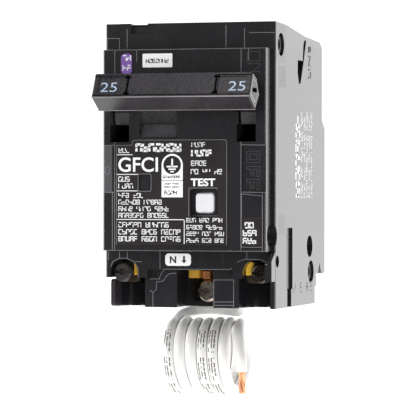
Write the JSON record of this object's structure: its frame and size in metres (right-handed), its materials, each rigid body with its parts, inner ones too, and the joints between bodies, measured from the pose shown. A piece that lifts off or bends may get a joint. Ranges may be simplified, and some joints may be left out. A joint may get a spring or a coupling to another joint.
{
  "type": "gfci circuit breaker",
  "caption": "Black plug-on circuit breaker with ground-fault module, tied toggle handles, white test button, wire lugs and a coiled white neutral lead.",
  "frame": {"origin": "middle of the case's footprint on the surface it lies on", "axes": "+Z out of the front face, +Y towards the line end, +X to the right seen from the front"},
  "size_m": [0.0508, 0.1094, 0.0735],
  "materials": {
    "case_plastic": "moulded black thermoset, satin gloss",
    "handle_plastic": "moulded black nylon",
    "brass": "plain brass",
    "copper": "bare copper",
    "zinc_steel": "zinc plated",
    "iron": "soft iron",
    "spring_steel": "spring wire",
    "bimetal": "rolled bimetal",
    "board": "glass-epoxy laminate",
    "component": "moulded components",
    "core": "coated ring core",
    "winding": "enamelled winding on a bobbin",
    "button_white": "white button",
    "lens": "dark window",
    "print_black": "black printed film",
    "print_white": "white printed film",
    "print_purple": "coloured printed film",
    "print_side": "side printing",
    "insulation": "white thermoplastic insulation"
  },
  "bodies": {
    "case": {"pole_shell_left": "case_plastic", "pole_shell_right": "case_plastic", "pole_plate_left": "case_plastic", "pole_plate_right": "case_plastic", "pivot_pins_left": "zinc_steel", "pivot_pins_right": "zinc_steel", "line_jaw_left": "copper", "line_jaw_right": "copper", "jaw_clip_left": "spring_steel", "jaw_clip_right": "spring_steel", "arc_chute_left": "zinc_steel", "arc_chute_right": "zinc_steel", "bimetal_left": "bimetal", "bimetal_right": "bimetal", "yoke_left": "iron", "yoke_right": "iron", "braid_left": "copper", "braid_right": "copper", "toggle_spring_left": "spring_steel", "toggle_spring_right": "spring_steel", "wire_lug_left": "zinc_steel", "wire_lug_right": "zinc_steel", "load_strap_left": "brass", "load_strap_right": "brass", "module_base": "case_plastic", "front_cover": "case_plastic", "case_rivets": "zinc_steel", "neutral_bar": "brass", "neutral_clamp": "copper", "button_spring": "spring_steel", "indicator_lens": "lens", "circuit_board": "board", "board_parts": "component", "sensing_coil": "core", "solenoid": "winding", "nameplate": "print_black", "side_print": "print_side", "lead_run": "insulation", "lead_coil": "insulation", "date_label": "print_black", "serial_label": "print_white", "colour_sticker": "print_purple", "neutral_label": "print_white", "lead_tail": "insulation", "lead_bare_end": "copper"},
    "switch": {"handle_left": "handle_plastic", "handle_right": "handle_plastic", "handle_tie": "handle_plastic"},
    "trip_shaft": {"trip_bar": "handle_plastic"},
    "solenoid_plunger": {"plunger": "iron"},
    "button": {"test_button": "button_white"},
    "neutral_screw_body": {"neutral_screw": "zinc_steel"},
    "contact_arm_left_body": {"contact_arm_left": "copper"},
    "cradle_left_body": {"cradle_left": "iron"},
    "armature_left_body": {"armature_left": "iron"},
    "lug_screw_left_body": {"lug_screw_left": "zinc_steel"},
    "contact_arm_right_body": {"contact_arm_right": "copper"},
    "cradle_right_body": {"cradle_right": "iron"},
    "armature_right_body": {"armature_right": "iron"},
    "lug_screw_right_body": {"lug_screw_right": "zinc_steel"}
  },
  "joints": [
    {"name": "handle_swing", "type": "hinge", "parent": "case", "child": "switch", "pos_m": [0, 0.0158, 0.045], "axis": [1, 0, 0], "range_deg": [0, 34], "deforming": ["toggle_spring_left", "toggle_spring_right"]},
    {"name": "trip_bar_turn", "type": "hinge", "parent": "case", "child": "trip_shaft", "pos_m": [0, -0.0112, 0.024], "axis": [1, 0, 0], "range_deg": [-12, 0]},
    {"name": "plunger_slide", "type": "slide", "parent": "case", "child": "solenoid_plunger", "axis": [0, -1, 0], "range_m": [0, 0.0017]},
    {"name": "test_press", "type": "slide", "parent": "case", "child": "button", "axis": [0, 0, -1], "range_m": [0, 0.0016], "stiffness_N_per_m": 300, "springref_m": -0.001, "deforming": ["button_spring"]},
    {"name": "neutral_screw_turn", "type": "hinge", "parent": "case", "child": "neutral_screw_body", "pos_m": [0.0029, -0.036, 0.046], "axis": [0, 0, 1], "continuous": true},
    {"name": "contact_left_open", "type": "hinge", "parent": "case", "child": "contact_arm_left_body", "pos_m": [0, 0.0178, 0.0384], "axis": [1, 0, 0], "range_deg": [-31, 0]},
    {"name": "cradle_left_release", "type": "hinge", "parent": "case", "child": "cradle_left_body", "pos_m": [0, 0.0013, 0.038], "axis": [1, 0, 0], "range_deg": [0, 12.5]},
    {"name": "armature_left_pull", "type": "hinge", "parent": "case", "child": "armature_left_body", "pos_m": [0, -0.0142, 0.039], "axis": [1, 0, 0], "range_deg": [-5, 0]},
    {"name": "lug_screw_left_turn", "type": "hinge", "parent": "case", "child": "lug_screw_left_body", "pos_m": [-0.0207, -0.0306, 0.051], "axis": [0, 0, 1], "continuous": true},
    {"name": "contact_right_open", "type": "hinge", "parent": "case", "child": "contact_arm_right_body", "pos_m": [0, 0.0178, 0.0384], "axis": [1, 0, 0], "range_deg": [-31, 0]},
    {"name": "cradle_right_release", "type": "hinge", "parent": "case", "child": "cradle_right_body", "pos_m": [0, 0.0013, 0.038], "axis": [1, 0, 0], "range_deg": [0, 12.5]},
    {"name": "armature_right_pull", "type": "hinge", "parent": "case", "child": "armature_right_body", "pos_m": [0, -0.0142, 0.039], "axis": [1, 0, 0], "range_deg": [-5, 0]},
    {"name": "lug_screw_right_turn", "type": "hinge", "parent": "case", "child": "lug_screw_right_body", "pos_m": [0.0207, -0.0306, 0.051], "axis": [0, 0, 1], "continuous": true}
  ],
  "couplings": [
    {"joint": "plunger_slide", "follows": "trip_bar_turn", "m_per_rad": -0.008},
    {"joint": "contact_left_open", "follows": "handle_swing", "ratio": -0.9},
    {"joint": "cradle_left_release", "follows": "trip_bar_turn", "ratio": -1},
    {"joint": "armature_left_pull", "follows": "trip_bar_turn", "ratio": 0.4},
    {"joint": "contact_right_open", "follows": "handle_swing", "ratio": -0.9},
    {"joint": "cradle_right_release", "follows": "trip_bar_turn", "ratio": -1},
    {"joint": "armature_right_pull", "follows": "trip_bar_turn", "ratio": 0.4}
  ]
}
